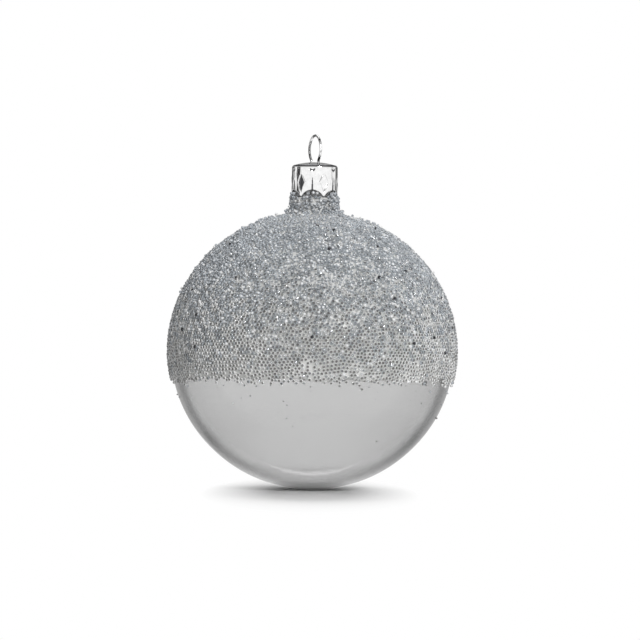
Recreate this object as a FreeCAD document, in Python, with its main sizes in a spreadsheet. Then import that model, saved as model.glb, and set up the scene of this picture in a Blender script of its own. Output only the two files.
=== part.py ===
import FreeCAD, Part
import math
import os
import Sketcher

# A glass ball ornament. The blown glass ball is slightly flatter than a sphere and ends in a neck. Its upper
# part is brushed with clear glue and rolled in tiny glass beads. A stamped metal cap covers the neck, and a
# bent wire hanger passes through two holes in the cap: its loop stands above the cap, and its two legs
# press against the inside of the neck.
#
# The origin is the centre of the hanging loop and +Z is up. The loop lies in the XZ plane. Glass, glue, beads
# and cap are drawn from the ball's centre, then moved down to hang under the loop.

# Driving dimensions, in millimetres (and a count)
SIZES = (
    ("ball_radius", 40.0),  # glass, at the equator
    ("side_radius", 37.85),  # curvature of the glass near the equator
    ("crown_radius", 40.53),  # curvature of the glass towards its two poles
    ("crown_shift", 1.6),  # the crown arcs' centres, across the equator from their pole
    ("glass_wall", 1.0),
    ("neck_radius", 6.1),
    ("neck_top", 52.4),
    ("flare_radius", 3.0),  # between the neck and the ball
    ("glue_thickness", 0.12),
    ("bead_diameter", 1.05),
    ("coat_bottom", -7.3),  # lower edge of the packed beads
    ("coat_middle", 12.0),  # neat rows below this height, random beads above it
    ("coat_top", 43.35),  # just under the cap
    ("ragged_height", 2.3),  # how far loose beads reach below the packed ones
    ("cap_radius", 6.45),
    ("cap_sheet", 0.2),
    ("cap_top", 53.5),
    ("cap_dome", 0.45),
    ("cap_shoulder", 1.0),
    ("cap_bottom", 43.75),
    ("arch_count", 6),  # scallops round the cap's lower edge
    ("arch_radius", 3.7),
    ("arch_top", 45.5),
    ("wire_radius", 0.35),
    ("wire_hole_radius", 0.6),
    ("loop_radius", 3.9),  # to the wire's centreline
    ("loop_fillet", 0.6),
    ("loop_height", 57.15),  # the loop's centre above the ball's centre
    ("leg_spacing", 2.45),  # from the axis to each leg where it passes the cap
    ("leg_reach", 4.7),  # from the axis to each leg inside the neck
    ("spread_start", -7.6),  # the legs spread from this height, below the loop's centre,
    ("spread_end", -14.4),  # to this one
    ("leg_tip", -26.0),
)

# Worked dimensions, from the driving ones. The loop fillet bends the wire from the loop into its legs.
WORKED = (
    ("pole", "Sizes.crown_radius - Sizes.crown_shift"),
    ("side_centre", "Sizes.ball_radius - Sizes.side_radius"),
    ("turn", "Sizes.crown_radius - Sizes.side_radius"),
    ("flare_centre_x", "Sizes.neck_radius + Sizes.flare_radius"),
    ("flare_span", "Sizes.crown_radius + Sizes.flare_radius"),
    ("flare_centre_z", "sqrt(flare_span^2 - flare_centre_x^2) - Sizes.crown_shift"),
    ("beads_out", "Sizes.glue_thickness + Sizes.bead_diameter"),
    ("glue_bottom", "Sizes.coat_bottom - Sizes.ragged_height - Sizes.bead_diameter"),
    ("dome_x", "Sizes.cap_radius - Sizes.cap_shoulder"),
    ("dome_z", "Sizes.cap_top - Sizes.cap_dome"),
    ("dome_curve", "(dome_x^2 + Sizes.cap_dome^2) / (2 * Sizes.cap_dome)"),
    ("shoulder_z", "dome_z - Sizes.cap_shoulder"),
    ("cap_top_in", "Sizes.cap_top - Sizes.cap_sheet"),
    ("dome_z_in", "dome_z - Sizes.cap_sheet"),
    ("cap_radius_in", "Sizes.cap_radius - Sizes.cap_sheet"),
    ("shoulder_in", "cap_radius_in - dome_x"),
    ("bend_x", "Sizes.leg_spacing + Sizes.loop_fillet"),
    ("bend_span", "Sizes.loop_radius + Sizes.loop_fillet"),
    ("bend_z", "-sqrt(bend_span^2 - bend_x^2)"),
    ("loop_end_x", "bend_x * Sizes.loop_radius / bend_span"),
    ("loop_end_z", "bend_z * Sizes.loop_radius / bend_span"),
    ("spread_x", "Sizes.leg_reach - Sizes.leg_spacing"),
    ("spread_z", "Sizes.spread_start - Sizes.spread_end"),
    ("spread_radius", "(spread_x^2 + spread_z^2) / (4 * spread_x)"),
    ("spread_mid_x", "(Sizes.leg_spacing + Sizes.leg_reach) / 2"),
    ("spread_mid_z", "(Sizes.spread_start + Sizes.spread_end) / 2"),
)

# The surfaces that follow the ball's outline at a distance: name, and the distance outwards
SURFACES = (
    ("glass", "0"),
    ("inside", "-Sizes.glass_wall"),
    ("film", "Sizes.glue_thickness"),
    ("beads", "beads_out"),
)

# What each surface's outline needs. {o} is the distance and {s} the surface's name.
OUTLINE = (
    ("{s}_pole", "pole + {o}"),
    ("{s}_low_pole", "-{s}_pole"),
    ("{s}_crown", "Sizes.crown_radius + {o}"),
    ("{s}_side", "Sizes.side_radius + {o}"),
    ("{s}_turn_x", "side_centre * {s}_crown / turn"),
    ("{s}_turn_z", "Sizes.crown_shift * {s}_crown / turn - Sizes.crown_shift"),
    ("{s}_low_turn_z", "-{s}_turn_z"),
    ("{s}_flare", "Sizes.flare_radius - ({o})"),
    ("{s}_flare_x", "flare_centre_x * {s}_crown / flare_span"),
    ("{s}_flare_z", "(flare_centre_z + Sizes.crown_shift) * {s}_crown / flare_span - Sizes.crown_shift"),
    ("{s}_neck", "Sizes.neck_radius + {o}"),
    ("{s}_glue_x", "side_centre + sqrt({s}_side^2 - glue_bottom^2)"),
    ("{s}_low_x", "side_centre + sqrt({s}_side^2 - Sizes.coat_bottom^2)"),
    ("{s}_middle_x", "side_centre + sqrt({s}_side^2 - Sizes.coat_middle^2)"),
)

doc = FreeCAD.newDocument("GlassOrnament")


def make_sheet():
    """The spreadsheet of driving dimensions, one named cell each."""
    cells = doc.addObject("Spreadsheet::Sheet", "Sizes")
    for row, (name, value) in enumerate(SIZES, start=1):
        cells.set(f"A{row}", name)
        cells.set(f"B{row}", str(value))
        cells.setAlias(f"B{row}", name)
    doc.recompute()
    return cells


def make_worked():
    """The set of worked dimensions, each bound to the sheet by its formula."""
    formulas = list(WORKED)
    for surface, distance in SURFACES:
        formulas += [(name.format(s=surface), text.format(s=surface, o=distance)) for name, text in OUTLINE]
    worked = doc.addObject("App::VarSet", "Worked")
    for name, text in formulas:
        worked.addProperty("App::PropertyFloat", name, "Worked", text)
        worked.setExpression(name, text)
    doc.recompute()
    return worked


sizes = make_sheet()
worked = make_worked()
size_names = [name for name, _ in SIZES]


def value(name):
    """A named dimension as a number."""
    owner = sizes if name in size_names else worked
    return float(getattr(owner, name))


def formula(name):
    """The expression that reads a named dimension."""
    owner = sizes if name in size_names else worked
    return f"{owner.Name}.{name}"


def signed(name):
    """A named dimension as a number and an expression, negative where the name starts with a minus."""
    if name.startswith("-"):
        return -value(name[1:]), "-" + formula(name[1:])
    return value(name), formula(name)


def new_body(label):
    body = doc.addObject("PartDesign::Body", label)
    body.Label = label
    return body


def hang_from_loop(body):
    """Move a body drawn from the ball's centre down to hang under the loop's centre."""
    body.setExpression("Placement.Base.z", "-Sizes.loop_height")


def origin_plane(body, role):
    return next(feature for feature in body.Origin.OriginFeatures if feature.Role == role)


def new_sketch(body, name, role="XZ_Plane"):
    sketch = body.newObject("Sketcher::SketchObject", name)
    sketch.AttachmentSupport = [(origin_plane(body, role), "")]
    sketch.MapMode = "FlatFace"
    return sketch


def arc_centre(start, end, radius, turning, wide):
    """Centre of an arc between two points. turning is 1 for anticlockwise, and wide means over half a circle."""
    chord = end.sub(start)
    side = FreeCAD.Vector(-chord.y, chord.x, 0).normalize()
    away = math.sqrt(max(radius**2 - chord.Length**2 / 4, 0.0))
    return start.add(end).multiply(0.5).add(side.multiply(away * turning * (-1 if wide else 1)))


def draw(sketch, corners, closed=True):
    """Draw an outline and bind it to the dimensions.

    Each corner is (x name, z name, edge): edge is how the outline goes on to the next corner, either None
    for a straight line or (radius name, turning, wide) for an arc. A name of "0" lies on the sketch's axis.
    """
    points = []
    for x_name, z_name, _ in corners:
        x = 0.0 if x_name == "0" else signed(x_name)[0]
        z = 0.0 if z_name == "0" else signed(z_name)[0]
        points.append(FreeCAD.Vector(x, z, 0))
    count = len(corners) if closed else len(corners) - 1
    ends = []
    for number in range(count):
        start, end = points[number], points[(number + 1) % len(points)]
        edge = corners[number][2]
        if edge is None:
            sketch.addGeometry(Part.LineSegment(start, end), False)
            ends.append((1, 2))
            continue
        radius_name, turning, wide = edge
        centre = arc_centre(start, end, value(radius_name), turning, wide)
        first, last = (start, end) if turning == 1 else (end, start)
        circle = Part.Circle(centre, FreeCAD.Vector(0, 0, 1), value(radius_name))
        angles = [math.atan2(point.y - centre.y, point.x - centre.x) for point in (first, last)]
        sketch.addGeometry(Part.ArcOfCircle(circle, *angles), False)
        ends.append((1, 2) if turning == 1 else (2, 1))
        bind(sketch, Sketcher.Constraint("Radius", number, value(radius_name)), formula(radius_name))
    for number in range(count if closed else count - 1):
        follower = (number + 1) % count
        meeting = Sketcher.Constraint("Coincident", number, ends[number][1], follower, ends[follower][0])
        sketch.addConstraint(meeting)
    for number, (x_name, z_name, _) in enumerate(corners):
        place = (number, ends[number][0]) if number < count else (number - 1, ends[number - 1][1])
        for kind, name, axis in (("DistanceX", x_name, -2), ("DistanceY", z_name, -1)):
            if name == "0":
                sketch.addConstraint(Sketcher.Constraint("PointOnObject", *place, axis))
            else:
                number_now, text = signed(name)
                bind(sketch, Sketcher.Constraint(kind, -1, 1, *place, number_now), text)


def bind(sketch, constraint, text):
    """Add a constraint whose value is an expression."""
    index = sketch.addConstraint(constraint)
    sketch.setExpression(f"Constraints[{index}]", text)


def revolve(body, name, corners):
    """A solid of revolution about the Z axis."""
    sketch = new_sketch(body, f"{name}_outline")
    draw(sketch, corners)
    turned = body.newObject("PartDesign::Revolution", name)
    turned.Profile = (sketch, [""])
    turned.ReferenceAxis = (sketch, ["V_Axis"])
    turned.Angle = 360
    return turned


def add_circle(sketch, x_name, radius_name):
    """A circle centred on the sketch's horizontal axis."""
    x, x_text = signed(x_name)
    centre = FreeCAD.Vector(x, 0, 0)
    number = sketch.addGeometry(Part.Circle(centre, FreeCAD.Vector(0, 0, 1), value(radius_name)), False)
    sketch.addConstraint(Sketcher.Constraint("PointOnObject", number, 3, -1))
    bind(sketch, Sketcher.Constraint("DistanceX", -1, 1, number, 3, x), x_text)
    bind(sketch, Sketcher.Constraint("Radius", number, value(radius_name)), formula(radius_name))


def make_glass_ball():
    """The blown ball and its open neck: one wall, outside from the bottom pole up, then inside back down."""
    body = new_body("glass_ball")
    hang_from_loop(body)
    corners = [
        ("0", "glass_low_pole", ("glass_crown", 1, False)),
        ("glass_turn_x", "glass_low_turn_z", ("glass_side", 1, False)),
        ("glass_turn_x", "glass_turn_z", ("glass_crown", 1, False)),
        ("glass_flare_x", "glass_flare_z", ("glass_flare", -1, False)),
        ("glass_neck", "flare_centre_z", None),
        ("glass_neck", "neck_top", None),
        ("inside_neck", "neck_top", None),
        ("inside_neck", "flare_centre_z", ("inside_flare", 1, False)),
        ("inside_flare_x", "inside_flare_z", ("inside_crown", -1, False)),
        ("inside_turn_x", "inside_turn_z", ("inside_side", -1, False)),
        ("inside_turn_x", "inside_low_turn_z", ("inside_crown", -1, False)),
        ("0", "inside_low_pole", None),
    ]
    revolve(body, "blown_wall", corners)
    return body


def make_glue_film():
    """The clear glue that holds the beads, from just below the lowest bead to the cap."""
    body = new_body("glue_film")
    hang_from_loop(body)
    corners = [
        ("film_glue_x", "glue_bottom", ("film_side", 1, False)),
        ("film_turn_x", "film_turn_z", ("film_crown", 1, False)),
        ("film_flare_x", "film_flare_z", ("film_flare", -1, False)),
        ("film_neck", "flare_centre_z", None),
        ("film_neck", "coat_top", None),
        ("glass_neck", "coat_top", None),
        ("glass_neck", "flare_centre_z", ("glass_flare", 1, False)),
        ("glass_flare_x", "glass_flare_z", ("glass_crown", -1, False)),
        ("glass_turn_x", "glass_turn_z", ("glass_side", -1, False)),
        ("glass_glue_x", "glue_bottom", None),
    ]
    revolve(body, "brushed_film", corners)
    return body


def make_bead_band():
    """The lower beads, packed in neat rows, joined into one layer."""
    body = new_body("bead_band")
    hang_from_loop(body)
    corners = [
        ("beads_low_x", "coat_bottom", ("beads_side", 1, False)),
        ("beads_middle_x", "coat_middle", None),
        ("film_middle_x", "coat_middle", ("film_side", -1, False)),
        ("film_low_x", "coat_bottom", None),
    ]
    revolve(body, "packed_layer", corners)
    return body


def make_bead_dome():
    """The upper beads, sprinkled at random, joined into one layer."""
    body = new_body("bead_dome")
    hang_from_loop(body)
    corners = [
        ("beads_middle_x", "coat_middle", ("beads_side", 1, False)),
        ("beads_turn_x", "beads_turn_z", ("beads_crown", 1, False)),
        ("beads_flare_x", "beads_flare_z", None),
        ("film_flare_x", "film_flare_z", ("film_crown", -1, False)),
        ("film_turn_x", "film_turn_z", ("film_side", -1, False)),
        ("film_middle_x", "coat_middle", None),
    ]
    revolve(body, "sprinkled_layer", corners)
    return body


def make_bead_collar():
    """The beads round the neck under the cap, joined into one layer."""
    body = new_body("bead_collar")
    hang_from_loop(body)
    corners = [
        ("beads_flare_x", "beads_flare_z", ("beads_flare", -1, False)),
        ("beads_neck", "flare_centre_z", None),
        ("beads_neck", "coat_top", None),
        ("film_neck", "coat_top", None),
        ("film_neck", "flare_centre_z", ("film_flare", 1, False)),
        ("film_flare_x", "film_flare_z", None),
    ]
    revolve(body, "neck_layer", corners)
    return body


def make_edge_beads():
    """The loose beads along the coat's ragged lower edge, each a separate ball.

    The first row is closed up against the packed beads. The rows below it keep fewer and fewer beads.
    """
    diameter = value("bead_diameter")
    radius = diameter / 2
    surface = value("film_side") + radius
    first_row = value("coat_bottom") - 0.62 * diameter
    balls = []
    for row, keep in enumerate((1, 2, 5)):
        height = first_row - 0.95 * row * diameter
        reach = value("side_centre") + math.sqrt(surface**2 - height**2)
        places = int(2 * math.pi * reach / (1.18 * diameter))
        for place in range(places):
            if (place + 2 * (place // 7)) % keep:
                continue
            angle = 2 * math.pi * (place + 0.5 * row) / places
            balls.append(
                Part.makeSphere(radius, FreeCAD.Vector(reach * math.cos(angle), reach * math.sin(angle), height))
            )
    beads = doc.addObject("Part::Feature", "edge_beads")
    beads.Label = "edge_beads"
    beads.Shape = Part.makeCompound(balls)
    beads.setExpression("Placement.Base.z", "-Sizes.loop_height")
    return beads


def make_cap():
    """The stamped cap: a domed cup with a scalloped lower edge and two holes for the wire."""
    body = new_body("cap")
    hang_from_loop(body)
    corners = [
        ("cap_radius", "cap_bottom", None),
        ("cap_radius", "shoulder_z", ("cap_shoulder", 1, False)),
        ("dome_x", "dome_z", ("dome_curve", 1, False)),
        ("0", "cap_top", None),
        ("0", "cap_top_in", ("dome_curve", -1, False)),
        ("dome_x", "dome_z_in", ("shoulder_in", -1, False)),
        ("cap_radius_in", "shoulder_z", None),
        ("cap_radius_in", "cap_bottom", None),
    ]
    revolve(body, "cup", corners)

    arch_outline = new_sketch(body, "arch_outline")
    centre_z = value("arch_top") - value("arch_radius")
    circle = Part.Circle(FreeCAD.Vector(0, centre_z, 0), FreeCAD.Vector(0, 0, 1), value("arch_radius"))
    arch_outline.addGeometry(circle, False)
    arch_outline.addConstraint(Sketcher.Constraint("PointOnObject", 0, 3, -2))
    lift = Sketcher.Constraint("DistanceY", -1, 1, 0, 3, centre_z)
    bind(arch_outline, lift, "Sizes.arch_top - Sizes.arch_radius")
    bind(arch_outline, Sketcher.Constraint("Radius", 0, value("arch_radius")), "Sizes.arch_radius")
    arch = body.newObject("PartDesign::Pocket", "arch")
    arch.Profile = (arch_outline, [""])
    arch.Type = "Length"
    arch.Midplane = True
    arch.setExpression("Length", "4 * Sizes.cap_radius")

    # Each pocket cuts two arches, one on each side, so half as many pockets go half way round
    arches = body.newObject("PartDesign::PolarPattern", "arches")
    arches.Originals = [arch]
    arches.Axis = (origin_plane(body, "Z_Axis"), [""])
    arches.setExpression("Occurrences", "Sizes.arch_count / 2")
    arches.setExpression("Angle", "180 - 360 / Sizes.arch_count")
    body.Tip = arches

    hole_outline = new_sketch(body, "wire_hole_outline", "XY_Plane")
    hole_outline.setExpression("AttachmentOffset.Base.z", "Sizes.cap_top + Sizes.cap_sheet")
    add_circle(hole_outline, "leg_spacing", "wire_hole_radius")
    add_circle(hole_outline, "-leg_spacing", "wire_hole_radius")
    holes = body.newObject("PartDesign::Pocket", "wire_holes")
    holes.Profile = (hole_outline, [""])
    holes.Type = "Length"
    holes.setExpression("Length", "2 * Sizes.cap_shoulder")
    body.Tip = holes
    return body


def make_hanger_wire():
    """The bent wire: a round loop, two straight legs through the cap, spread to press on the neck's bore."""
    body = new_body("hanger_wire")
    route = new_sketch(body, "wire_route")
    corners = [
        ("-leg_reach", "leg_tip", None),
        ("-leg_reach", "spread_end", ("spread_radius", -1, False)),
        ("-spread_mid_x", "spread_mid_z", ("spread_radius", 1, False)),
        ("-leg_spacing", "spread_start", None),
        ("-leg_spacing", "bend_z", ("loop_fillet", 1, False)),
        ("-loop_end_x", "loop_end_z", ("loop_radius", -1, True)),
        ("loop_end_x", "loop_end_z", ("loop_fillet", 1, False)),
        ("leg_spacing", "bend_z", None),
        ("leg_spacing", "spread_start", ("spread_radius", 1, False)),
        ("spread_mid_x", "spread_mid_z", ("spread_radius", -1, False)),
        ("leg_reach", "spread_end", None),
        ("leg_reach", "leg_tip", None),
    ]
    draw(route, corners, closed=False)
    section = new_sketch(body, "wire_section", "XY_Plane")
    section.setExpression("AttachmentOffset.Base.z", "Sizes.leg_tip")
    add_circle(section, "-leg_reach", "wire_radius")
    doc.recompute()
    wire = body.newObject("PartDesign::AdditivePipe", "bent_wire")
    wire.Profile = (section, [""])
    wire.Spine = (route, [f"Edge{number}" for number in range(1, len(corners))])
    return body


def check(nodes):
    """Stop if anything in the document failed, or a piece isn't a sound solid."""
    for thing in doc.Objects:
        if "Invalid" in thing.State or "Error" in thing.State:
            raise RuntimeError(f"{thing.Name} failed: {thing.State}")
    for node in nodes:
        shape = node.Shape
        if shape.isNull() or not shape.isValid() or not shape.Solids:
            raise RuntimeError(f"{node.Label} has no sound solid")


def main():
    nodes = [
        make_glass_ball(),
        make_glue_film(),
        make_bead_band(),
        make_bead_dome(),
        make_bead_collar(),
        make_edge_beads(),
        make_cap(),
        make_hanger_wire(),
    ]
    doc.recompute()
    check(nodes)
    os.makedirs("parts", exist_ok=True)
    for node in nodes:
        node.Shape.exportStep(f"parts/{node.Label}.step")
        box = node.Shape.BoundBox
        print(
            f"{node.Label}: {len(node.Shape.Solids)} solids, {node.Shape.Volume:.1f} mm3,"
            f" x {box.XMin:.2f} to {box.XMax:.2f}, z {box.ZMin:.2f} to {box.ZMax:.2f}"
        )


main()
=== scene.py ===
"""Looks of a blown glass ball ornament: its upper part is frosted with tiny glass beads, and a stamped
metal cap with a wire loop covers its neck.

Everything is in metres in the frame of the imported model: the origin is the centre of the wire loop, and +Z
is up. Heights called "high" are above the ball's centre, and an outline angle is how far the glass's normal
points up. Ramp stops are (place, grey) pairs.
"""

import math
import random

import bpy
import numpy as np
from mathutils import Matrix, Vector, kdtree, noise


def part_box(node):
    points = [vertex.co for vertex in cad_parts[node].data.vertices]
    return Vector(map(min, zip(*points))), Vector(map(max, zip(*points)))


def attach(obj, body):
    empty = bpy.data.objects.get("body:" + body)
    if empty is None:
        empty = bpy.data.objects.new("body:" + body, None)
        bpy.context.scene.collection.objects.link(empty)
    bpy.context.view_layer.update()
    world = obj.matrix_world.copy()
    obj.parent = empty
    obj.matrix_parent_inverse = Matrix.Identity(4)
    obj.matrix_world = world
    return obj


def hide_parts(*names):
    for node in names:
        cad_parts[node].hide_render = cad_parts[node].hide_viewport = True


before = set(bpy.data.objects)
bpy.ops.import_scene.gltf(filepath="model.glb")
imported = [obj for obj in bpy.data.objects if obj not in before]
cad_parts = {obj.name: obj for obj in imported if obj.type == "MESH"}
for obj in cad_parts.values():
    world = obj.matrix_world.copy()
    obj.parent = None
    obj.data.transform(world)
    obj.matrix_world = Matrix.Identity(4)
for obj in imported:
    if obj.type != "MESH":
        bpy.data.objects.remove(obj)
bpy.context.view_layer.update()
glass_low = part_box("glass_ball")[0]
cap_low, cap_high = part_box("cap")
rng = random.Random(7)

MM = 0.001
WHITE = (1.0, 1.0, 1.0, 1.0)

# The outline of the glass: two arcs of the side and the crown, and a small hollow arc into the neck.
SIDE_RADIUS = 37.85 * MM
SIDE_CENTRE = 2.15 * MM
CROWN_RADIUS = 40.53 * MM
CROWN_SHIFT = 1.6 * MM
SIDE_ENDS = math.atan2(CROWN_SHIFT, SIDE_CENTRE)
NECK_RADIUS = 6.1 * MM
FLARE_RADIUS = 3.0 * MM
FLARE_X = NECK_RADIUS + FLARE_RADIUS
FLARE_HIGH = math.sqrt((CROWN_RADIUS + FLARE_RADIUS) ** 2 - FLARE_X**2) - CROWN_SHIFT
CROWN_ENDS = math.atan2(FLARE_HIGH + CROWN_SHIFT, FLARE_X)
BALL_CENTRE = glass_low.z + CROWN_RADIUS - CROWN_SHIFT

# The coat of beads. BEAD is the common radius, and the beads' centres stand a LAYER off the glass.
COAT_BOTTOM = -7.3 * MM
COAT_MIDDLE = 16.0 * MM
COAT_TOP = 43.35 * MM
GLUE = 0.12 * MM
BEAD = 0.525 * MM
PITCH = 1.1 * MM
ROW = 0.95 * MM
LAYER = GLUE + BEAD
LOWEST_ROW = math.asin((COAT_BOTTOM + BEAD) / (SIDE_RADIUS + LAYER))
ROW_STEP = ROW / (CROWN_RADIUS + LAYER)
ROW_START = 0.3
JITTER = 0.34
DRIFT = 1.3
DRIFT_SEED = 5
WAVERS_A_METRE = 110
NEATEST = 0.55
NEAT_SHARE = 0.1
LOWEST_ROWS_FULL = 0.75
GAP_ABOVE = 0.38
GAP_FULL = 0.68
GAP_ROWS = 6
GAP_SEED = 31
SPREAD_ROUNDS = 5
SPREAD_PUSH = 0.45
BEADS_APART = 1.04 * MM
LOOSE_BEADS = 260
RAGGED = 2.3 * MM
LOOSE_SPREAD = 0.45 * RAGGED
LOW_ZONE = 5 * MM
LOW_SHRINK = 0.1
NECK_ZONE = (33 * MM, 39 * MM)
NECK_SHRINK = 0.3
COOL_FROM = 3 * MM
COOL_OVER = 28 * MM
COOL_GLUE_LOW = 0.05
COOL_GLUE_MORE = 0.85
SMALLEST = 0.98
SMALLER_WHEN_WILD = 0.25
BIGGEST = 1.04

# Beads on top of the first layer, most of them along six slanting runs of glue. Sizes are shares of the
# common radius.
PILED_BEADS = 480
PILED_LOWEST = 0.1
PILED_HIGHEST = CROWN_ENDS - 0.05
PILED_PROUD = 1.15
PILED_SIZES = (0.6, 0.85)
PILED_ANYWHERE = 0.06
RUNS = [math.radians(d) for d in (45, 95, 160, 215, 290, 345)]
RUN_WIDTH = math.radians(4)
RUN_SLANT = 0.35

# Specks below the coat: their radii in millimetres, and the middle and spread of their angles below its
# lowest row.
SPECKS = 60
SPECK_SIZES = (0.12, 0.26)
SPECK_PROUD = 0.7
SPECKS_BELOW = (0.05, 0.14)

# Beads round the neck.
COLLAR_BEAD = 0.5 * MM
COLLAR_JITTER = 0.2
COLLAR_UNEVEN = 0.14 * MM
COLLAR_SIZES = (0.85, 1.05)
COLLAR_PILED = 0.25
COLLAR_PILED_PROUD = 1.5
COLLAR_PILED_SIZE = 0.8
ARCH_MARGIN = 0.1 * MM

# The mesh of a bead: rings of corners at these angles from its top. The first zone is inside the first
# ring, the second is from there to the second ring, and the third is the sides.
BEAD_RINGS = [math.radians(d) for d in (27, 47, 70, 96, 126, 160)]
BEAD_SIDES = 10
BEAD_ASKEW = (0.3, 0.2, 0.9)
BEADS_A_PIECE = 1600
REPLACED = ["bead_band", "bead_dome", "bead_collar", "edge_beads"]

# What a zone of a bead can be made of, as (name, colour, roughness, transmission, metallic).
SILVER, BLACK, CLEAR, SMOKY_PAINTED_DARK, FROST_PAINTED_BRIGHT, GREY, WET, WET_COOL = range(8)
BEAD_STUFFS = [
    ("bead_silver", (0.88, 0.90, 0.92), 0.12, 0.0, 1.0),
    ("bead_black", (0.03, 0.03, 0.035), 0.1, 0.0, 0.0),
    ("bead_clear", (0.96, 0.97, 0.98), 0.02, 1.0, 0.0),
    # Painted dark: smoky glass on a bead's top stands in for the dark image a clear bead shows.
    ("bead_smoky_painted_dark", (0.255, 0.25, 0.245), 0.05, 0.75, 0.0),
    # Painted highlight: frosted glass on a bead's top stands in for its bright glint.
    ("bead_frost_painted_highlight", (0.90, 0.91, 0.93), 0.3, 0.2, 0.0),
    ("bead_grey", (0.50, 0.53, 0.56), 0.05, 0.75, 0.0),
    ("bead_wet", (0.97, 0.97, 0.96), 0.35, 0.2, 0.0),
    ("bead_wet_cool", (0.63, 0.665, 0.705), 0.3, 0.35, 0.0),
]

# Kinds of beads, as (share low on the coat, share at its top, zones), where a zone of None is wet with
# glue. The smoky tops, most of them low on the coat, are painted dark dots, and the frosted tops, most
# of them at its top, are painted highlights.
LOOKS = [
    (0.008, 0.02, (SILVER, SILVER, GREY)),
    (0.004, 0.006, (BLACK, BLACK, BLACK)),
    (0.04, 0.15, (CLEAR, CLEAR, None)),
    (0.62, 0.05, (SMOKY_PAINTED_DARK, SMOKY_PAINTED_DARK, None)),
    (0.18, 0.10, (SMOKY_PAINTED_DARK, GREY, None)),
    (0.10, 0.20, (GREY, GREY, None)),
    (0.03, 0.40, (FROST_PAINTED_BRIGHT, GREY, None)),
    (0.03, 0.10, (FROST_PAINTED_BRIGHT, FROST_PAINTED_BRIGHT, None)),
]

# The glue. Its edge is placed in steps of a row, and EDGE_CROWDING packs the rows of its mesh by that edge.
GLUE_SIDES = 360
GLUE_ROWS = 40
FLARE_ROWS = 6
GLUE_GAP = 0.01 * MM
GLUE_THINNEST = 0.02 * MM
GLUE_DEEP = 0.3 * MM
GLUE_RISE = 1.0 * MM / CROWN_RADIUS
GLUE_SEED = 9
GLUE_UNEVEN = 0.25
EDGE_LOWER = 0.75
EDGE_RAGGED = 0.5
EDGE_WAVES = 40
EDGE_CROWDING = 0.65

# The cap, whose wall has an arch and a stamped field for each of its arches.
CAP_RADIUS = 6.45 * MM
CAP_SHEET = 0.2 * MM
CAP_DOME = 0.8 * MM
CAP_SHOULDER = 0.85 * MM
CAP_PINHOLE = 0.02 * MM
CAP_ARCHES = 6
ARCH_RADIUS = 3.7 * MM
ARCH_HIGH = 45.5 * MM
ARCH_TOP = BALL_CENTRE + ARCH_HIGH
WALL_TOP = cap_high.z - CAP_DOME - CAP_SHOULDER
CAP_SIDES = 600
CAP_ROWS = 44
SHOULDER_ROWS = 8
DOME_ROWS = 12
WIRE_SPACING = 2.45 * MM
WIRE_HOLE = 0.6 * MM
DRILL_LONG = 4 * MM

# The cap's stamped marks. A kite has three places up the wall, and its half width is at the middle one.
# Depths are shares of STAMP. Dents are (how fast they change round the wall, how fast up it, seed).
STAMP = 0.12 * MM
STAMP_FADE = 0.5 * MM
CREASE_TALL = 3.6 * MM
CREASE_FADE = 1.2 * MM
CREASE_FAINT = 0.3
CREASE_NARROW = 0.13 * MM
CREASE_WIDER = 0.2 * MM
CREASE_RAISED = 0.8
CREASE_RAISED_OUT = 2.1
CHEVRON_OVER = 5.4 * MM
CHEVRON_WIDE = 0.8 * MM
CHEVRON_SLOPE = 0.55
CHEVRON_LINE = 0.2 * MM
KITE_LOW, KITE_MIDDLE, KITE_TOP = (ARCH_TOP + up * MM for up in (-0.9, 2.1, 4.5))
KITE_WIDE = 1.1 * MM
KITE_POINT = 0.001
KITE_EDGE = 0.4 * MM
KITE_RAISED = 0.9
KITE_RIM = 0.16 * MM
KITE_RIM_OUT = 0.14 * MM
FLUTES = 18
FLUTE_DEEP = 0.12
DENT_DEEP = 0.35
BROAD_DENTS = (7, 350, 1)
SMALL_DENTS = (22, 300, 7)
# Dark paint in the creases, the small vs and two of the kites, and round the shoulder, is painted dark
# reflection.
DARK_CREASE = 0.35
DARK_CHEVRON = 0.3
DARK_KITE = 0.05
PAINTED_DARK_TIPS = (2, 5)
PAINTED_DARK_SHOULDER = range(CAP_ROWS + 2, CAP_ROWS + 6)

# Noise textures, as (scale, detail), and what they do: the share of its colour that a mottled material has
# in dark and in light places, and the tone and roughness of the silver.
MOTTLE_NOISE = (300.0, 2.0)
MOTTLE_SHARES = (0.9, 1.08)
MOTTLE_FROM, MOTTLE_TO = (0.35, 0.65)
GRAIN_NOISE = (900.0, 3.0)
SILVER_TONE = [(0.35, 0.86), (0.65, 0.95)]
SILVER_ROUGH = (0.06, 0.16)
WIRE_NOISE = (420.0, 1.0)

# The tone of the glass by how much it is turned away, with a painted dark line just inside its rim, and
# of the wire by patches, which are painted reflections.
GLASS_TINT_AND_PAINTED_RIM = [(0.0, 0.75), (0.40, 0.73), (0.62, 0.69), (0.68, 0.48)]
GLASS_TINT_AND_PAINTED_RIM += [(0.76, 0.16), (0.92, 0.04), (1.0, 0.3)]
# The wire's near-black and white patches are painted reflections.
WIRE_PAINTED_REFLECTIONS = [(0.38, 0.03), (0.42, 0.40), (0.52, 0.50), (0.56, 0.95)]

# The camera, level and far away, with a long lens.
CAMERA_AZIMUTH = math.radians(66)
TO_CAMERA = Vector((math.sin(CAMERA_AZIMUTH), -math.cos(CAMERA_AZIMUTH), 0))
TO_RIGHT = Vector((math.cos(CAMERA_AZIMUTH), math.sin(CAMERA_AZIMUTH), 0))
CAMERA_AWAY = 0.9
CAMERA_HIGH = 8.96 * MM
CAMERA_ASIDE = 2.05 * MM
CAMERA_LENS = 179.1
CAMERA_SENSOR = 36
CAMERA_ROLL = math.radians(0.8)

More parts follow.
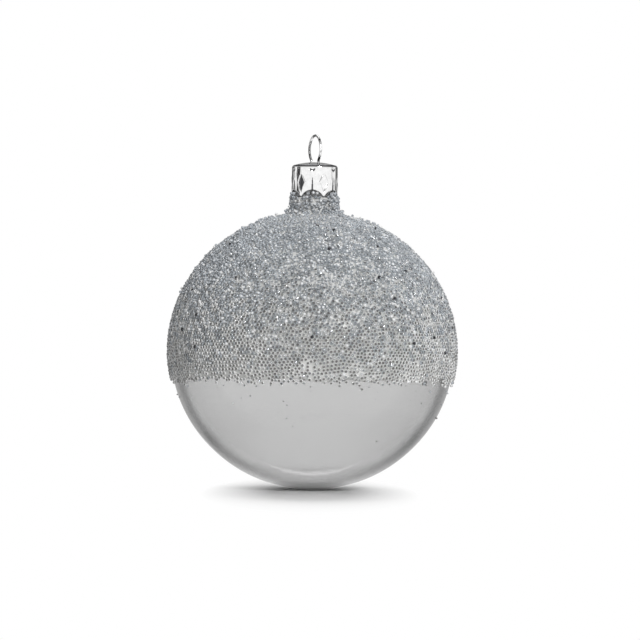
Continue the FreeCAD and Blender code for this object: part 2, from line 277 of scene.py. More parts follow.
# The floor. Widths and places of the screens are in units of SCREEN_SCALE.
FLOOR_HALF = 4.0
FLOOR_WHITE = 0.87
SHADOW_WIDE = 30 * MM
SHADOW_LONG = 95 * MM
SHADOW_AHEAD = 22 * MM
SHADOW_EDGE = [(0.0, 0.0), (0.35, 0.0), (0.7, 0.55), (1.0, 1.0)]
SCREEN_SCALE = 100 * MM
SCREENS_SPREAD = 0.16
SCREEN_GREY = 0.64
OPEN_PATH = [(0.0, 1.0), (0.18, 1.0), (0.40, SCREEN_GREY)]
OPEN_FRONT = [(0.0, 0.0), (0.1, 0.0), (0.4, 1.0)]
NEAR_FOOT = [(0.0, 0.1), (0.05, 0.15), (0.12, 0.88), (0.3, 0.8), (0.5, 0.8), (0.7, 1.0)]
FLOOR_LIGHT = [(0.0, 0.3), (0.33, 0.72), (0.5, 0.9), (0.68, 1.0), (0.84, 0.55), (1.0, 0.3)]

# The studio that glass and metal see: its walls from straight behind the ball, at 0, round to the camera,
# at 1, and its backdrop and ceiling by height, from the nadir, at 0, to the zenith, at 1.
LEFT_WALL = [(0.01, 1.0), (0.02, 0.12), (0.22, 0.12), (0.27, 1.0)]
LEFT_WALL += [(0.38, 1.0), (0.41, 0.04), (0.57, 0.04), (0.63, 1.0)]
RIGHT_WALL = [(0.01, 1.0), (0.02, 0.12), (0.17, 0.15), (0.22, 1.0)]
RIGHT_WALL += [(0.35, 1.0), (0.38, 0.4), (0.43, 0.4), (0.46, 1.0)]
LEFT_TO_RIGHT = [(0.0, 0.0), (0.45, 0.0), (0.55, 1.0), (1.0, 1.0)]
BACKDROP = [(0.0, 1.0), (0.507, 1.0), (0.517, 0.1), (1.0, 0.1)]
BACKDROP_ENDS = [(0.0, 1.0), (0.06, 1.0), (0.10, 0.0)]
CEILING = [(0.0, 0.8), (0.60, 0.8), (0.66, 0.3), (0.85, 0.2), (0.90, 1.0), (1.0, 1.0)]
CEILING_STARTS = [(0.0, 0.0), (0.58, 0.0), (0.66, 1.0), (1.0, 1.0)]

# The light on dull surfaces, from the left, at 0, to the right, at 1.
SOFT_LIGHT = [(0.0, 0.02), (0.25, 0.4), (0.55, 1.0), (0.72, 1.0), (0.84, 0.45), (1.0, 0.05)]

# Suns, as (name, forwards, right and up parts of the way it shines, energy, width in degrees).
SUNS = [("back_light", (-1.0, 0.0, -1.6), 1.0, 40), ("side_light", (1.0, -0.5, -0.5), 1.5, 12)]


# Small helpers


def clip(x):
    """A number brought into 0..1."""
    return min(max(x, 0), 1)


def bell(x, width):
    """1 at zero, and falling to nothing beyond about twice the width."""
    return math.exp(-((x / width) ** 2))


def from_axis(out, azimuth, z):
    """A point at a distance from the axis, an azimuth and a height."""
    return Vector((out * math.cos(azimuth), out * math.sin(azimuth), z))


def add_mesh(name, verts, faces, materials, face_material=None):
    """A smooth mesh object from arrays of points and of faces with equal numbers of corners."""
    mesh = bpy.data.meshes.new(name)
    faces = np.asarray(faces, np.int32)
    corners = faces.shape[1]
    mesh.vertices.add(len(verts))
    mesh.vertices.foreach_set("co", np.asarray(verts, np.float32).ravel())
    mesh.loops.add(faces.size)
    mesh.loops.foreach_set("vertex_index", faces.ravel())
    mesh.polygons.add(len(faces))
    mesh.polygons.foreach_set("loop_start", np.arange(0, faces.size, corners, dtype=np.int32))
    mesh.update(calc_edges=True)
    for m in materials:
        mesh.materials.append(m)
    if face_material is not None:
        mesh.polygons.foreach_set("material_index", np.asarray(face_material, np.int32))
    mesh.shade_smooth()
    obj = bpy.data.objects.new(name, mesh)
    bpy.context.scene.collection.objects.link(obj)
    return obj


def skin(name, outer, inner, material, second=None, use_second=None):
    """One closed skin from two sets of lines round the axis, an outer and an inner. A second material may
    be used for some of its faces."""
    rounds, loop = len(outer), 2 * len(outer[0])
    verts = [v for o, i in zip(outer, inner) for v in o + i[::-1]]
    faces = []
    for s in range(rounds):
        this, after = s * loop, (s + 1) % rounds * loop
        faces += [(this + k, after + k, after + (k + 1) % loop, this + (k + 1) % loop) for k in range(loop)]
    return add_mesh(name, verts, faces, [material, second] if second else [material], use_second)


# Helpers for materials


def new_material(name):
    """A material, its node tree and its Principled shader."""
    m = bpy.data.materials.new(name)
    m.use_nodes = True
    return m, m.node_tree, m.node_tree.nodes["Principled BSDF"]


def add_node(tree, kind, **values):
    """A node with its named inputs set."""
    n = tree.nodes.new(kind)
    for key, v in values.items():
        n.inputs[key.replace("_", " ")].default_value = v
    return n


def ramp(tree, factor, stops):
    """A colour ramp of (place, grey) or (place, colour) stops."""
    n = tree.nodes.new("ShaderNodeValToRGB")
    tree.links.new(factor, n.inputs["Fac"])
    while len(n.color_ramp.elements) < len(stops):
        n.color_ramp.elements.new(0.5)
    for e, (place, grey) in zip(n.color_ramp.elements, stops):
        e.position = place
        shade = grey if isinstance(grey, tuple) else (grey, grey, grey)
        e.color = (*shade, 1.0)
    return n.outputs["Color"]


def calc(tree, operation, *values):
    """The result of a maths node on sockets and numbers."""
    n = tree.nodes.new("ShaderNodeMath")
    n.operation = operation
    for socket, v in zip(n.inputs, values):
        if isinstance(v, float):
            socket.default_value = v
        else:
            tree.links.new(v, socket)
    return n.outputs[0]


def half_range(tree, value):
    """A number from -1..1 brought to 0..1."""
    n = tree.nodes.new("ShaderNodeMapRange")
    n.inputs["From Min"].default_value = -1.0
    tree.links.new(value, n.inputs["Value"])
    return n.outputs["Result"]


def blend_of(tree, factor, low, high):
    """Two colours mixed by a factor."""
    n = tree.nodes.new("ShaderNodeMix")
    n.data_type = "RGBA"
    for socket, value in (("Factor", factor), ("A", low), ("B", high)):
        target = next(i for i in n.inputs if i.name == socket and i.enabled)
        tree.links.new(value, target)
    return next(o for o in n.outputs if o.enabled)


def choose(tree, factor, shader, other):
    """The first shader node, or the other where the factor is 1."""
    mix = tree.nodes.new("ShaderNodeMixShader")
    tree.links.new(factor, mix.inputs["Fac"])
    tree.links.new(shader.outputs[0], mix.inputs[1])
    tree.links.new(other.outputs[0], mix.inputs[2])
    return mix


def object_noise(tree, scale, detail):
    """A noise texture that stays on its piece."""
    place = tree.nodes.new("ShaderNodeTexCoord")
    patches = add_node(tree, "ShaderNodeTexNoise", Scale=scale, Detail=detail)
    tree.links.new(place.outputs["Object"], patches.inputs["Vector"])
    return patches.outputs["Fac"]


def mottled(name, colour, roughness, transmission=0.0, metallic=0.0, ior=1.5):
    """A material of one colour that is a little darker in some places and a little lighter in others."""
    m, tree, bsdf = new_material(name)
    dark, light = (tuple(min(share * c, 1.0) for c in colour) for share in MOTTLE_SHARES)
    tones = ramp(tree, object_noise(tree, *MOTTLE_NOISE), [(MOTTLE_FROM, dark), (MOTTLE_TO, light)])
    tree.links.new(tones, bsdf.inputs["Base Color"])
    bsdf.inputs["Roughness"].default_value = roughness
    bsdf.inputs["IOR"].default_value = ior
    bsdf.inputs["Metallic"].default_value = metallic
    bsdf.inputs["Transmission Weight"].default_value = transmission
    return m


# The outline


def outline(angle, proud):
    """Distance from the axis and height above the ball's centre, on the glass moved out by proud."""
    if abs(angle) < SIDE_ENDS:
        return SIDE_CENTRE + (SIDE_RADIUS + proud) * math.cos(angle), (SIDE_RADIUS + proud) * math.sin(angle)
    shift = math.copysign(CROWN_SHIFT, angle)
    return (CROWN_RADIUS + proud) * math.cos(angle), (CROWN_RADIUS + proud) * math.sin(angle) - shift


def on_ball(angle, azimuth, proud):
    """The point of the glass moved out by proud, at an azimuth from +X."""
    out, high = outline(angle, proud)
    return from_axis(out, azimuth, BALL_CENTRE + high)


def ball_angles(p):
    """The outline angle and azimuth of a point near the glass."""
    out, high = math.hypot(p.x, p.y), p.z - BALL_CENTRE
    angle = math.atan2(high, out - SIDE_CENTRE)
    if abs(angle) > SIDE_ENDS:
        angle = math.atan2(high + math.copysign(CROWN_SHIFT, high), out)
    return angle, math.atan2(p.y, p.x)


def on_flare(tilt, proud):
    """Distance from the axis and height above the ball's centre, on the hollow arc into the neck moved out
    by proud. The tilt is how far the glass's normal points up."""
    reach = FLARE_RADIUS - proud
    return FLARE_X - reach * math.cos(tilt), FLARE_HIGH - reach * math.sin(tilt)


def from_arch(azimuth):
    """How far a place on the cap's wall is, round the wall, from the middle of the nearest arch."""
    pitch = 2 * math.pi / CAP_ARCHES
    return (azimuth % pitch - pitch / 2) * CAP_RADIUS


def waver(angle, azimuth, seed):
    """A slow random number from about -1 to 1 that changes over about a centimetre of the glass."""
    return noise.noise(on_ball(angle, azimuth, 0) * WAVERS_A_METRE + Vector((seed, 0, 0)))


# Beads. Each is (centre, the way it stands, radius, stuffs of its three zones).


def how_wild(high):
    """How disordered the beads are at a height: neat rows at the bottom, sprinkled at the top."""
    return min(max((high - COAT_BOTTOM) / (COAT_MIDDLE - COAT_BOTTOM) - NEAT_SHARE, NEATEST), 1.0)


def bead_size(high):
    """How big beads are at a height, against the common size: smaller by the lower edge and by the neck."""
    neck_low, neck_top = NECK_ZONE
    near_edge = clip(1 - (high - COAT_BOTTOM) / LOW_ZONE)
    near_neck = clip((high - neck_low) / (neck_top - neck_low))
    return 1 - LOW_SHRINK * near_edge - NECK_SHRINK * near_neck


def pick_look(high):
    """The stuffs of a bead's top, of the ring round it and of its sides by chance. The glue has crept up
    the sides. At the bottom most beads have smoky tops, painted dark dots, and stand in light glue. At
    the top more have frosted tops, painted highlights, and they are cooler."""
    cool = clip((high - COAT_BOTTOM - COOL_FROM) / COOL_OVER)
    shares = [low + (top - low) * cool for low, top, _ in LOOKS]
    zones = rng.choices(LOOKS, shares)[0][2]
    wet = WET_COOL if rng.random() < COOL_GLUE_LOW + COOL_GLUE_MORE * cool else WET
    return [wet if zone is None else zone for zone in zones]


def coat_rows():
    """First places of the coat's beads: wavy rows round the ball, shifted by half a bead from row to
    row."""
    rows = int((CROWN_ENDS - LOWEST_ROW) / ROW_STEP)
    places = []
    for k in range(rows + 1):
        angle = LOWEST_ROW + k * ROW_STEP
        out, high = outline(angle, LAYER)
        count = int(2 * math.pi * out / PITCH)
        loose = JITTER * how_wild(high)
        start = rng.random() * ROW_START + k % 2 * 0.5
        for i in range(count):
            azimuth = 2 * math.pi * (i + start + rng.gauss(0, loose)) / count
            tilt = angle + (rng.gauss(0, loose) + DRIFT * waver(angle, azimuth, DRIFT_SEED)) * ROW_STEP
            in_gap = waver(angle, azimuth, GAP_SEED) > GAP_ABOVE and k < GAP_ROWS
            full = GAP_FULL if in_gap else 1 if k > 1 else LOWEST_ROWS_FULL
            if rng.random() < full:
                places.append(on_ball(tilt, azimuth, LAYER))
    return places


def loose_places():
    """Places of the loose beads below the lowest row."""
    places = []
    for _ in range(LOOSE_BEADS):
        azimuth = rng.uniform(0, 2 * math.pi)
        high = COAT_BOTTOM + BEAD - abs(rng.gauss(0, LOOSE_SPREAD))
        high = max(high, COAT_BOTTOM - RAGGED)
        places.append(on_ball(math.asin(high / (SIDE_RADIUS + BEAD)), azimuth, LAYER))
    return places


def spread_out(places):
    """Pushes beads that are too close apart along the glass, a little at a time."""
    for _ in range(SPREAD_ROUNDS):
        tree = kdtree.KDTree(len(places))
        for i, p in enumerate(places):
            tree.insert(p, i)
        tree.balance()
        moved = []
        for i, p in enumerate(places):
            push = Vector((0, 0, 0))
            for q, j, d in tree.find_range(p, BEADS_APART):
                if j != i and d > 0:
                    push += (p - q) * ((BEADS_APART - d) / d * SPREAD_PUSH)
            moved.append(p + push)
        places = [on_ball(*ball_angles(p), LAYER) for p in moved]
    return places


def seat(angle, azimuth, proud):
    """A bead's centre and the way it stands, from its outline angle."""
    return on_ball(angle, azimuth, proud), from_axis(math.cos(angle), azimuth, math.sin(angle))


def coat_beads():
    """All beads of the first layer."""
    beads = []
    for p in spread_out(coat_rows() + loose_places()):
        angle, azimuth = ball_angles(p)
        high = p.z - BALL_CENTRE
        by_chance = rng.uniform(SMALLEST - SMALLER_WHEN_WILD * how_wild(high), BIGGEST)
        radius = BEAD * bead_size(high) * by_chance
        centre, up = seat(angle, azimuth, GLUE + radius)
        if high < FLARE_HIGH - CROWN_SHIFT:
            beads.append((centre, up, radius, pick_look(high)))
    return beads


def pile_beads():
    """Beads that stuck on top of the first layer: a few everywhere in the upper part, more along the
    runs."""
    beads = []
    while len(beads) < PILED_BEADS:
        azimuth = rng.uniform(0, 2 * math.pi)
        angle = rng.uniform(PILED_LOWEST, PILED_HIGHEST)
        run = max(bell(azimuth - at + RUN_SLANT * angle, RUN_WIDTH) for at in RUNS)
        if rng.random() > PILED_ANYWHERE + (1 - PILED_ANYWHERE) * run:
            continue
        radius = BEAD * rng.uniform(*PILED_SIZES)
        centre, up = seat(angle, azimuth, LAYER + PILED_PROUD * radius)
        beads.append((centre, up, radius, pick_look(centre.z - BALL_CENTRE)))
    return beads


def specks():
    """Tiny drops of glue and chips of glass that strayed onto the bare glass, fewer further down."""
    beads = []
    for _ in range(SPECKS):
        angle = LOWEST_ROW - abs(rng.gauss(*SPECKS_BELOW))
        azimuth = rng.uniform(0, 2 * math.pi)
        radius = rng.uniform(*SPECK_SIZES) * MM
        centre, up = seat(angle, azimuth, SPECK_PROUD * radius)
        beads.append((centre, up, radius, [rng.choice((GREY, WET_COOL, SMOKY_PAINTED_DARK))] * 3))
    return beads


def collar_rings():
    """The rings of beads on the hollow curve into the neck and round the neck, as (out, high, tilt)."""
    turn = ROW / (FLARE_RADIUS - LAYER)
    rings = []
    tilt = CROWN_ENDS - turn
    while tilt > 0:
        rings.append((*on_flare(tilt, LAYER), tilt))
        tilt -= turn
    high = rings[-1][1] + ROW
    while high < ARCH_HIGH:
        rings.append((NECK_RADIUS + LAYER, high, 0))
        high += ROW
    return rings


def collar_beads():
    """Beads round the neck, up to the cap and into its arches, with some beads piled on others."""
    beads = []
    for k, (out, high, tilt) in enumerate(collar_rings()):
        count = int(2 * math.pi * out / PITCH)
        for i in range(count):
            azimuth = 2 * math.pi * (i + 0.5 * (k % 2) + rng.gauss(0, COLLAR_JITTER)) / count
            from_middle = math.hypot(from_arch(azimuth), high - ARCH_HIGH + ARCH_RADIUS)
            in_arch = from_middle < ARCH_RADIUS - COLLAR_BEAD - ARCH_MARGIN
            if high > COAT_TOP - BEAD and not in_arch:
                continue
            centre = from_axis(out, azimuth, BALL_CENTRE + high + rng.gauss(0, COLLAR_UNEVEN))
            up = from_axis(math.cos(tilt), azimuth, math.sin(tilt))
            radius = COLLAR_BEAD * rng.uniform(*COLLAR_SIZES)
            beads.append((centre, up, radius, pick_look(high)))
            if high < COAT_TOP - 2 * BEAD and rng.random() < COLLAR_PILED:
                on_top = centre + COLLAR_PILED_PROUD * radius * up
                beads.append((on_top, up, COLLAR_PILED_SIZE * radius, pick_look(high)))
    return beads


def unit_bead():
    """A ball of radius 1 made of rings, flattened at its foot, and the zone of each triangle."""
    turns = [2 * math.pi * i / BEAD_SIDES for i in range(BEAD_SIDES)]
    verts = [Vector((0, 0, 1))]
    verts += [from_axis(math.sin(ring), turn, math.cos(ring)) for ring in BEAD_RINGS for turn in turns]
    tris = [(0, 1 + i, 1 + (i + 1) % BEAD_SIDES) for i in range(BEAD_SIDES)]
    for k in range(len(BEAD_RINGS) - 1):
        for i in range(BEAD_SIDES):
            a, b = 1 + k * BEAD_SIDES + i, 1 + k * BEAD_SIDES + (i + 1) % BEAD_SIDES
            c, d = a + BEAD_SIDES, b + BEAD_SIDES
            tris += [(a, c, d), (a, d, b)]
    last = 1 + (len(BEAD_RINGS) - 1) * BEAD_SIDES
    tris += [(last, last + i + 1, last + i) for i in range(1, BEAD_SIDES - 1)]
    zones = np.repeat([0, 1, 2], [BEAD_SIDES, 2 * BEAD_SIDES, len(tris) - 3 * BEAD_SIDES])
    return np.array(verts), np.array(tris), zones


def bead_mesh(name, beads, materials):
    """One mesh of many glass beads, each standing on its foot."""
    unit, tris, zones = unit_bead()
    centres, ups, radii, looks = (np.array(part) for part in zip(*beads))
    sides = np.cross(ups, BEAD_ASKEW)
    sides /= np.linalg.norm(sides, axis=1)[:, None]
    fronts = np.cross(ups, sides)
    axes = np.stack([sides, fronts, ups], axis=1)
    verts = centres[:, None, :] + np.einsum("vk,bkj->bvj", unit, axes) * radii[:, None, None]
    faces = tris[None, :, :] + (np.arange(len(beads)) * len(unit))[:, None, None]
    return add_mesh(name, verts.reshape(-1, 3), faces.reshape(-1, 3), materials, looks[:, zones].ravel())


def make_beads():
    """Every bead of the coat, in pieces small enough to export whole."""
    materials = [mottled(*stuff) for stuff in BEAD_STUFFS]
    beads = coat_beads() + pile_beads() + collar_beads() + specks()
    beads.sort(key=lambda b: b[0].z)
    for k in range(0, len(beads), BEADS_A_PIECE):
        piece = bead_mesh(f"beads_{k // BEADS_A_PIECE}", beads[k : k + BEADS_A_PIECE], materials)
        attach(piece, "ball")
        if k == 0:
            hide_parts(*REPLACED)


# Glue


def glue_depth(angle, azimuth, edge):
    """How thick the glue is: it thins to nothing at its ragged lower edge."""
    inside = clip((angle - edge) / GLUE_RISE)
    uneven = 1 + GLUE_UNEVEN * waver(angle, azimuth, GLUE_SEED)
    return GLUE_THINNEST + GLUE_DEEP * math.sqrt(inside) * uneven


def glue_edge(azimuth):
    """The outline angle of the glue's ragged lower edge, which follows the lowest row of beads."""
    ragged = EDGE_RAGGED * noise.noise(Vector((EDGE_WAVES * azimuth, 0, 3)))
    return LOWEST_ROW + (DRIFT * waver(LOWEST_ROW, azimuth, DRIFT_SEED) - EDGE_LOWER + ragged) * ROW_STEP


def glue_lines(azimuth):
    """The outer and inner lines of the film at an azimuth, from its edge up to the cap."""
    edge = glue_edge(azimuth)
    outer, inner = [], []
    for k in range(GLUE_ROWS + 1):
        share = k / GLUE_ROWS
        angle = edge + (CROWN_ENDS - edge) * share * (1 - EDGE_CROWDING * (1 - share))
        outer.append(on_ball(angle, azimuth, glue_depth(angle, azimuth, edge)))
        inner.append(on_ball(angle, azimuth, GLUE_GAP))
    for line, proud in ((outer, GLUE_DEEP), (inner, GLUE_GAP)):
        for k in range(1, FLARE_ROWS + 1):
            out, high = on_flare(CROWN_ENDS * (1 - k / FLARE_ROWS), proud)
            line.append(from_axis(out, azimuth, BALL_CENTRE + high))
        line.append(from_axis(NECK_RADIUS + proud, azimuth, BALL_CENTRE + COAT_TOP))
    return outer, inner


def make_glue():
    """The film of glue, as one closed skin."""
    lines = [glue_lines(2 * math.pi * i / GLUE_SIDES) for i in range(GLUE_SIDES)]
    outer, inner = zip(*lines)
    glue = skin("glue", outer, inner, mottled("glue", (0.9, 0.9, 0.89), 0.35, 0.35, ior=1.4))
    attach(glue, "ball")
    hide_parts("glue_film")


# Cap


def marks(azimuth, z):
    """The stamped lines at a place of the wall, each from about -1, raised, to 1, pressed in: a crease over
    each arch with a small v above it, and a kite over each tip."""
    aside = from_arch(azimuth)
    tip = math.pi / CAP_ARCHES * CAP_RADIUS - abs(aside)
    over = z - ARCH_TOP
    strength = CREASE_FAINT + (1 - CREASE_FAINT) * clip((CREASE_TALL - over) / CREASE_FADE)
    broad = CREASE_NARROW + CREASE_WIDER * clip(1 - over / CREASE_TALL)
    raised = CREASE_RAISED * bell(abs(aside) - CREASE_RAISED_OUT * broad, broad)
    crease = strength * (bell(aside, broad) - raised)
    from_chevron = over - CHEVRON_OVER - CHEVRON_SLOPE * abs(aside)
    chevron = bell(from_chevron, CHEVRON_LINE) * (abs(aside) < CHEVRON_WIDE)
    rising = max((z - KITE_LOW) / (KITE_MIDDLE - KITE_LOW), KITE_POINT)
    falling = max((KITE_TOP - z) / (KITE_TOP - KITE_MIDDLE), KITE_POINT)
    half = KITE_WIDE * min(rising, falling)
    rim = KITE_RAISED * bell(tip - half - KITE_RIM_OUT, KITE_RIM)
    kite = min(half / KITE_EDGE, 1) * (max(1 - tip / half, 0) - rim)
    return crease, chevron, kite


def stamping(azimuth, z):
    """How far the wall stands out at a place: the stamped lines, and faint flutes and dents."""
    flutes = FLUTE_DEEP * math.cos(FLUTES * azimuth)
    round_wall, up_wall, seed = BROAD_DENTS
    broad_dents = DENT_DEEP * noise.noise(Vector((azimuth * round_wall, z * up_wall, seed)))
    round_wall, up_wall, seed = SMALL_DENTS
    small_dents = FLUTE_DEEP * noise.noise(Vector((azimuth * round_wall, z * up_wall, seed)))
    return STAMP * (flutes + broad_dents + small_dents - sum(marks(azimuth, z)))


def is_painted_dark_reflection(azimuth, z):
    """Whether the metal is painted dark at a place, as painted dark reflection: in the creases and the small
    vs, and in a few of the kites.
    """
    crease, chevron, kite = marks(azimuth, z)
    nearest_tip = round(azimuth / (2 * math.pi) * CAP_ARCHES) % CAP_ARCHES
    in_kite = kite > DARK_KITE and nearest_tip in PAINTED_DARK_TIPS
    return crease > DARK_CREASE or chevron > DARK_CHEVRON or in_kite


def cap_line(azimuth, inwards):
    """The cap's section at an azimuth, from its scalloped edge up and over to its middle."""
    under = ARCH_RADIUS**2 - from_arch(azimuth) ** 2
    edge = max(cap_low.z, ARCH_TOP - ARCH_RADIUS + math.sqrt(max(under, 0)))
    line = []
    for k in range(CAP_ROWS + 1):
        z = edge + (WALL_TOP - edge) * k / CAP_ROWS
        fade = min((WALL_TOP - z) / STAMP_FADE, 1)
        line.append((CAP_RADIUS - inwards + fade * stamping(azimuth, z), z))
    flat = CAP_RADIUS - CAP_SHOULDER
    round_in = CAP_SHOULDER - inwards
    for k in range(1, SHOULDER_ROWS + 1):
        turn = math.pi / 2 * k / SHOULDER_ROWS
        line.append((flat + round_in * math.cos(turn), WALL_TOP + round_in * math.sin(turn)))
    for k in range(1, DOME_ROWS + 1):
        out = flat * (1 - k / DOME_ROWS) + CAP_PINHOLE
        line.append((out, cap_high.z - CAP_DOME * (out / flat) ** 2 - inwards))
    return [from_axis(out, azimuth, z) for out, z in line]


def silver():
    """Bright stamped metal with fine rubbing marks."""
    m, tree, bsdf = new_material("silver")
    bsdf.inputs["Metallic"].default_value = 1.0
    grain = object_noise(tree, *GRAIN_NOISE)
    tree.links.new(ramp(tree, grain, SILVER_TONE), bsdf.inputs["Base Color"])
    smoothest, roughest = SILVER_ROUGH
    rough = add_node(tree, "ShaderNodeMapRange", To_Min=smoothest, To_Max=roughest)
    tree.links.new(grain, rough.inputs["Value"])
    tree.links.new(rough.outputs["Result"], bsdf.inputs["Roughness"])
    return m


def drill(obj, x):
    """Cuts a wire hole down through the cap's top."""
    place = (x, 0, cap_high.z)
    bpy.ops.mesh.primitive_cylinder_add(vertices=32, radius=WIRE_HOLE, depth=DRILL_LONG, location=place)
    tool = bpy.context.object
    cut = obj.modifiers.new("hole", "BOOLEAN")
    cut.operation = "DIFFERENCE"
    cut.object = tool
    cut.solver = "EXACT"
    bpy.context.view_layer.objects.active = obj
    bpy.ops.object.modifier_apply(modifier=cut.name)
    bpy.data.objects.remove(tool)


def make_cap():
    """The stamped cap, which stands for its plain CAD piece, with painted dark reflections in its marks and
    a painted dark ring round its shoulder.
    """
    turns = [2 * math.pi * i / CAP_SIDES for i in range(CAP_SIDES)]
    outer, inner = [cap_line(a, 0) for a in turns], [cap_line(a, CAP_SHEET) for a in turns]
    dark = []
    for turn, line in zip(turns, outer):
        dark += [is_painted_dark_reflection(turn, p.z) for p in line[:CAP_ROWS]]
        # The shoulder's rows are painted dark, standing in for the dark reflection there.
        dark += [k in PAINTED_DARK_SHOULDER for k in range(CAP_ROWS, len(line))]
        dark += [False] * len(line)
    # Near-black metal that paints the dark reflections on the cap.
    painted_dark_metal = mottled("painted_dark_metal", (0.09, 0.09, 0.095), 0.3, metallic=1.0)
    cap = skin("stamped_cap", outer, inner, silver(), painted_dark_metal, dark)
    for side in (-1, 1):
        drill(cap, side * WIRE_SPACING / 2)
    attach(cap, "cap")
    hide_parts("cap")


# Materials of the CAD pieces


def set_material(node, material):
    """Gives a CAD piece one material."""
    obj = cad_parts[node]
    obj.data.materials.clear()
    obj.data.materials.append(material)


def ball_glass():
    """Clear, faintly smoky blown glass, deeper in tone where it is looked at along its wall, near the
    rim. Just inside the rim it is painted near black with a lighter edge, as painted reflection of dark
    surroundings."""
    m, tree, bsdf = new_material("blown_glass")
    bsdf.inputs["Roughness"].default_value = 0.0
    bsdf.inputs["IOR"].default_value = 1.5
    bsdf.inputs["Transmission Weight"].default_value = 1.0
    facing = add_node(tree, "ShaderNodeLayerWeight", Blend=0.5)
    tree.links.new(ramp(tree, facing.outputs["Facing"], GLASS_TINT_AND_PAINTED_RIM), bsdf.inputs["Base Color"])
    return m


def wire_metal():
    """Bright wire with dark and light patches painted in at random, as painted reflections along it."""
    m, tree, bsdf = new_material("wire")
    bsdf.inputs["Metallic"].default_value = 1.0
    bsdf.inputs["Roughness"].default_value = 0.25
    tree.links.new(ramp(tree, object_noise(tree, *WIRE_NOISE), WIRE_PAINTED_REFLECTIONS), bsdf.inputs["Base Color"])
    return m


# Floor


def on_floor(tree, ahead, wide, long):
    """Places on the floor from a point ahead of the ball's foot, across and along the camera's view, in
    units of a width and a length."""
    place = tree.nodes.new("ShaderNodeTexCoord")
    turned = tree.nodes.new("ShaderNodeMapping")
    turned.vector_type = "TEXTURE"
    turned.inputs["Location"].default_value = TO_CAMERA * ahead + Vector((0, 0, glass_low.z))
    turned.inputs["Rotation"].default_value = (0, 0, CAMERA_AZIMUTH)
    turned.inputs["Scale"].default_value = (wide, long, 1)
    tree.links.new(place.outputs["Object"], turned.inputs["Vector"])
    return turned.outputs[0]


def how_far(tree, place):
    """The distance of a place from its origin."""
    far = tree.nodes.new("ShaderNodeVectorMath")
    far.operation = "LENGTH"
    tree.links.new(place, far.inputs[0])
    return far.outputs["Value"]


def screened(tree, near, across, along):
    """How bright the floor is to glass and metal: grey in two wedges that open away from the camera."""
    past_wedge = calc(tree, "MULTIPLY_ADD", along, -SCREENS_SPREAD, calc(tree, "ABSOLUTE", across))
    open_path = ramp(tree, past_wedge, OPEN_PATH)
    open_front = ramp(tree, calc(tree, "MULTIPLY", along, -1.0), OPEN_FRONT)
    near_foot = ramp(tree, how_far(tree, near), NEAR_FOOT)
    return calc(tree, "MULTIPLY", calc(tree, "MAXIMUM", open_path, open_front), near_foot)


def make_floor():
    """A white floor, far wider than the object, that differs by what looks at it. The camera sees it glow
    evenly, except round the foot of the ball, where it is an ordinary white surface that shows the ball's
    soft shadow, thrown forwards. Dull surfaces are lit by a floor that darkens to both sides. Glass and
    metal see it greyer at both sides and black right under the ball, as if screens stood there. That draws
    a dark line round the glass."""
    corners = ((-1, -1), (1, -1), (1, 1), (-1, 1))
    verts = [(x * FLOOR_HALF, y * FLOOR_HALF, glass_low.z) for x, y in corners]
    m, tree, bsdf = new_material("floor")
    bsdf.inputs["Base Color"].default_value = (FLOOR_WHITE, FLOOR_WHITE, FLOOR_WHITE, 1.0)
    bsdf.inputs["Roughness"].default_value = 0.9
    bsdf.inputs["Specular IOR Level"].default_value = 0.0
    glow = add_node(tree, "ShaderNodeEmission", Color=WHITE, Strength=1.0)
    far = how_far(tree, on_floor(tree, SHADOW_AHEAD, SHADOW_WIDE, SHADOW_LONG))
    shadowed = choose(tree, ramp(tree, far, SHADOW_EDGE), bsdf, glow)
    near = on_floor(tree, 0, SCREEN_SCALE, SCREEN_SCALE)
    split = tree.nodes.new("ShaderNodeSeparateXYZ")
    tree.links.new(near, split.inputs[0])
    across, along = split.outputs["X"], split.outputs["Y"]
    mirrored = add_node(tree, "ShaderNodeEmission", Color=WHITE)
    tree.links.new(screened(tree, near, across, along), mirrored.inputs["Strength"])
    lighting = add_node(tree, "ShaderNodeEmission", Color=WHITE)
    tree.links.new(ramp(tree, half_range(tree, across), FLOOR_LIGHT), lighting.inputs["Strength"])
    path = tree.nodes.new("ShaderNodeLightPath")
    seen = choose(tree, path.outputs["Is Diffuse Ray"], mirrored, lighting)
    seen = choose(tree, path.outputs["Is Camera Ray"], seen, shadowed)
    tree.links.new(seen.outputs[0], tree.nodes["Material Output"].inputs["Surface"])
    add_mesh("floor", verts, [(0, 1, 2, 3)], [m])


# World, lights and camera


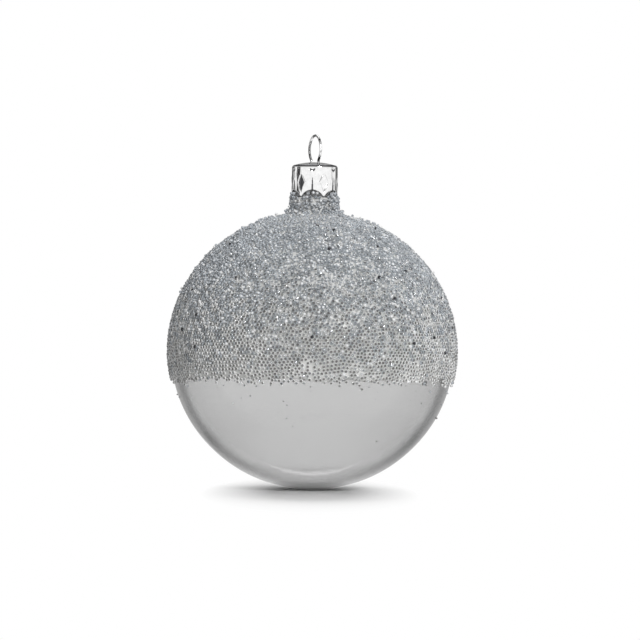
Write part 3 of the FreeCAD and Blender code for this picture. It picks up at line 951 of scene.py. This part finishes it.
def make_world():
    """White for the camera. Dull surfaces are lit most from in front and a little to the right. Glass and
    metal see a studio: white walls with narrow dark gaps at the sides, a dark backdrop behind the ball, a
    dark ceiling and a bright soft box overhead."""
    scene = bpy.context.scene
    scene.view_settings.view_transform = "Standard"
    world = bpy.data.worlds.new("studio")
    scene.world = world
    world.use_nodes = True
    tree = world.node_tree
    tree.nodes.clear()
    out = tree.nodes.new("ShaderNodeOutputWorld")
    path = tree.nodes.new("ShaderNodeLightPath")
    place = tree.nodes.new("ShaderNodeTexCoord")
    turned = tree.nodes.new("ShaderNodeVectorRotate")
    turned.rotation_type = "Z_AXIS"
    turned.inputs["Angle"].default_value = math.radians(90) - CAMERA_AZIMUTH
    split = tree.nodes.new("ShaderNodeSeparateXYZ")
    tree.links.new(place.outputs["Generated"], turned.inputs["Vector"])
    tree.links.new(turned.outputs[0], split.inputs[0])
    depth, aside, height = (half_range(tree, split.outputs[axis]) for axis in "XYZ")
    side_walls = ramp(tree, depth, LEFT_WALL), ramp(tree, depth, RIGHT_WALL)
    walls = blend_of(tree, ramp(tree, aside, LEFT_TO_RIGHT), *side_walls)
    walls = blend_of(tree, ramp(tree, depth, BACKDROP_ENDS), walls, ramp(tree, height, BACKDROP))
    studio = blend_of(tree, ramp(tree, height, CEILING_STARTS), walls, ramp(tree, height, CEILING))
    mirrored = add_node(tree, "ShaderNodeBackground", Strength=1.0)
    tree.links.new(studio, mirrored.inputs["Color"])
    lighting = add_node(tree, "ShaderNodeBackground", Strength=1.0)
    tree.links.new(ramp(tree, aside, SOFT_LIGHT), lighting.inputs["Color"])
    plain_white = add_node(tree, "ShaderNodeBackground", Color=WHITE, Strength=1.0)
    seen = choose(tree, path.outputs["Is Diffuse Ray"], mirrored, lighting)
    seen = choose(tree, path.outputs["Is Camera Ray"], seen, plain_white)
    tree.links.new(seen.outputs[0], out.inputs["Surface"])


def add_sun(name, direction, energy, width):
    """A soft sun that shines along a direction given as forwards, to the right and up, from the camera's
    side."""
    forwards, right, up = direction
    lamp = bpy.data.lights.new(name, "SUN")
    lamp.energy = energy
    lamp.angle = math.radians(width)
    obj = bpy.data.objects.new(name, lamp)
    along = TO_RIGHT * right - TO_CAMERA * forwards + Vector((0, 0, up))
    obj.rotation_mode = "QUATERNION"
    obj.rotation_quaternion = along.to_track_quat("-Z", "Y")
    bpy.context.scene.collection.objects.link(obj)


def make_camera():
    """A level camera with a long lens."""
    data = bpy.data.cameras.new("camera")
    data.lens = CAMERA_LENS
    data.sensor_width = CAMERA_SENSOR
    obj = bpy.data.objects.new("camera", data)
    at_height = Vector((0, 0, BALL_CENTRE + CAMERA_HIGH))
    obj.location = TO_CAMERA * CAMERA_AWAY + TO_RIGHT * CAMERA_ASIDE + at_height
    obj.rotation_mode = "QUATERNION"
    roll = Matrix.Rotation(CAMERA_ROLL, 4, "Z").to_quaternion()
    obj.rotation_quaternion = (-TO_CAMERA).to_track_quat("-Z", "Y") @ roll
    bpy.context.scene.collection.objects.link(obj)
    bpy.context.scene.camera = obj


make_beads()
make_glue()
make_cap()
set_material("glass_ball", ball_glass())
set_material("hanger_wire", wire_metal())
make_floor()
make_world()
for sun in SUNS:
    add_sun(*sun)
make_camera()
